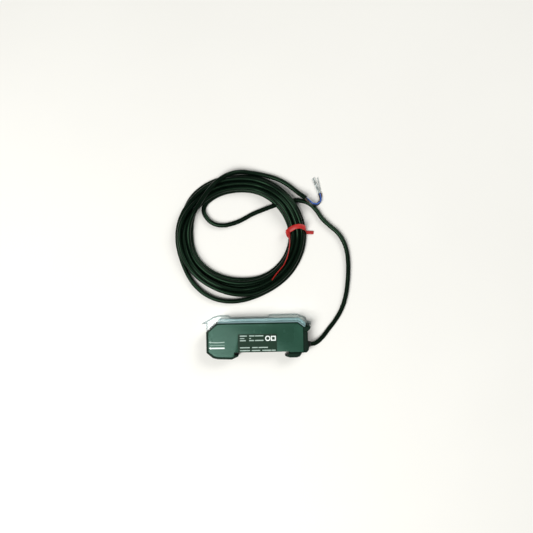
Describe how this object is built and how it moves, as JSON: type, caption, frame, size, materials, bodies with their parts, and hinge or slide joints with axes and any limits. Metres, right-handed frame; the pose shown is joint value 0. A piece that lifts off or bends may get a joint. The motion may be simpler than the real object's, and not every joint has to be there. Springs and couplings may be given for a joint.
{
  "type": "photoelectric sensor",
  "caption": "Slim rail-mounted fibre-optic photoelectric sensor amplifier with hinged clear dust cover, fibre lock lever, push buttons and a moulded lead coiled in a twist tie.",
  "frame": {"origin": "centre of the amplifier's outline, without its cable, on the plane of the back face that it lies on", "axes": "+X along the case from the fibre ports to the cable end; +Y from the rail side to the dust cover; +Z out of the labelled side, through the thickness"},
  "size_m": [0.1237, 0.1327, 0.01],
  "materials": {
    "case_plastic": "satin",
    "side_plastic": "satin",
    "cap_plastic": "satin",
    "panel_plastic": "satin",
    "window_plastic": "polished, dark tinted",
    "label_film": "satin film",
    "cover_plastic": "clear smoked polycarbonate",
    "steel": "brushed",
    "lever_plastic": "satin",
    "dark_plastic": "satin",
    "lens_plastic": "clear tinted",
    "board_laminate": "solder mask",
    "chip_plastic": "matt",
    "header_plastic": "satin",
    "switch_metal": "stamped",
    "lamp_plastic": "clear amber",
    "button_plastic": "satin",
    "bush_rubber": "satin",
    "jacket_pvc": "semi-gloss PVC",
    "brown_pvc": "semi-gloss PVC",
    "blue_pvc": "semi-gloss PVC",
    "black_pvc": "semi-gloss PVC",
    "tinned_copper": "tinned",
    "tie_plastic": "glossy plastic coated wire"
  },
  "bodies": {
    "amplifier": {"main_case": "case_plastic", "side_cover": "side_plastic", "end_cap": "cap_plastic", "top_panel": "panel_plastic", "display_window": "window_plastic", "rating_label": "label_film", "hinge_pin": "steel", "lever_pin": "steel", "fibre_holder": "dark_plastic", "emitter_led": "lens_plastic", "photodiode": "chip_plastic", "optical_board": "board_laminate", "main_board": "board_laminate", "display_board": "board_laminate", "controller_chip": "chip_plastic", "output_transistor": "chip_plastic", "supply_capacitor": "steel", "cable_header": "header_plastic", "displays": "dark_plastic", "tact_switches": "switch_metal", "selector_switch": "switch_metal", "status_lamp": "lamp_plastic", "cable_bush": "bush_rubber", "cable_lead": "jacket_pvc", "cable_coil": "jacket_pvc", "cable_tail": "jacket_pvc", "core_brown": "brown_pvc", "core_blue": "blue_pvc", "core_black": "black_pvc", "core_tips": "tinned_copper", "twist_tie": "tie_plastic"},
    "dust_cover": {"dust_cover": "cover_plastic"},
    "lock_lever": {"lock_lever": "lever_plastic"},
    "fibre_clamp": {"fibre_clamp": "steel"},
    "set_button": {"set_button": "button_plastic"},
    "up_button": {"up_button": "button_plastic"},
    "down_button": {"down_button": "button_plastic"},
    "mode_button": {"mode_button": "button_plastic"},
    "output_selector": {"output_selector": "button_plastic"},
    "rail_claw": {"rail_claw": "case_plastic"}
  },
  "joints": [
    {"name": "dust_cover_hinge", "type": "hinge", "parent": "amplifier", "child": "dust_cover", "pos_m": [0.0358, 0.0082, 0.005], "axis": [0, 0, 1], "range_deg": [-7.5, 0]},
    {"name": "lock_lever_hinge", "type": "hinge", "parent": "amplifier", "child": "lock_lever", "pos_m": [-0.0256, 0.0082, 0.005], "axis": [0, 0, 1], "range_deg": [-35, 0]},
    {"name": "fibre_clamp_slide", "type": "slide", "parent": "amplifier", "child": "fibre_clamp", "axis": [0, 1, 0], "range_m": [-0.000917, 0]},
    {"name": "rail_claw_slide", "type": "slide", "parent": "amplifier", "child": "rail_claw", "axis": [1, 0, 0], "range_m": [0, 0.0025], "stiffness_N_per_m": 1500, "springref_m": -0.0005},
    {"name": "output_selector_slide", "type": "slide", "parent": "amplifier", "child": "output_selector", "axis": [1, 0, 0], "range_m": [0, 0.0012]},
    {"name": "set_button_press", "type": "slide", "parent": "amplifier", "child": "set_button", "axis": [0, -1, 0], "range_m": [0, 0.0003], "stiffness_N_per_m": 600, "springref_m": -0.0001},
    {"name": "up_button_press", "type": "slide", "parent": "amplifier", "child": "up_button", "axis": [0, -1, 0], "range_m": [0, 0.0003], "stiffness_N_per_m": 600, "springref_m": -0.0001},
    {"name": "down_button_press", "type": "slide", "parent": "amplifier", "child": "down_button", "axis": [0, -1, 0], "range_m": [0, 0.0003], "stiffness_N_per_m": 600, "springref_m": -0.0001},
    {"name": "mode_button_press", "type": "slide", "parent": "amplifier", "child": "mode_button", "axis": [0, -1, 0], "range_m": [0, 0.0003], "stiffness_N_per_m": 600, "springref_m": -0.0001}
  ],
  "couplings": [
    {"joint": "lock_lever_hinge", "follows": "fibre_clamp_slide", "rad_per_m": 665.63}
  ]
}
